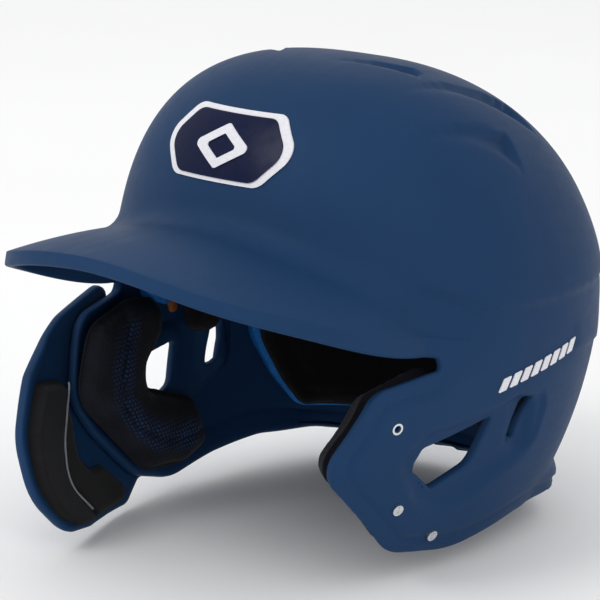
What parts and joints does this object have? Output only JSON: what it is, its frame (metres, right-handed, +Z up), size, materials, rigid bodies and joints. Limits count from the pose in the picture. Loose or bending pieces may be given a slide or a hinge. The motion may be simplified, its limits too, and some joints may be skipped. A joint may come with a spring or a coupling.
{
  "type": "batting helmet",
  "caption": "Batting helmet with two ear flaps, a screwed-on jaw guard over the wearer's right cheek, brim, foam liner and cloth-covered ear and comfort pads.",
  "frame": {"origin": "midpoint between the two ear holes, on the wearer's head axis", "axes": "+X to the wearer's left, -Y forward along the brim, +Z up"},
  "size_m": [0.22, 0.2853, 0.2231],
  "materials": {
    "shell": "satin",
    "guard": "satin",
    "decal_white": "gloss",
    "decal_navy": "gloss",
    "steel": "satin",
    "ear_mesh": "matte",
    "black_cloth": "matte",
    "guard_cloth": "matte",
    "loop_cloth": "matte",
    "blue_foam": "matte",
    "tab_leather": "matte"
  },
  "bodies": {
    "root": {"shell": "shell", "badge_base": "decal_white", "badge_field": "decal_navy", "badge_mark": "decal_white", "left_side_graphic": "decal_white", "right_side_graphic": "decal_white", "jaw_guard": "guard", "guard_front_pad": "guard_cloth", "guard_lower_pad": "loop_cloth", "guard_screws": "steel", "right_tee_nuts": "steel", "left_tee_nuts": "steel", "left_plug_screws": "steel", "front_liner": "blue_foam", "front_pad": "black_cloth", "crown_liner": "blue_foam", "crown_pad": "black_cloth", "rear_liner": "blue_foam", "rear_pad": "black_cloth", "left_liner": "blue_foam", "left_pad": "black_cloth", "right_liner": "blue_foam", "right_pad": "black_cloth", "left_ear_pad": "ear_mesh", "left_ear_pad_backing": "loop_cloth", "right_ear_pad": "ear_mesh", "right_ear_pad_backing": "loop_cloth", "fit_tab": "tab_leather"}
  },
  "joints": []
}
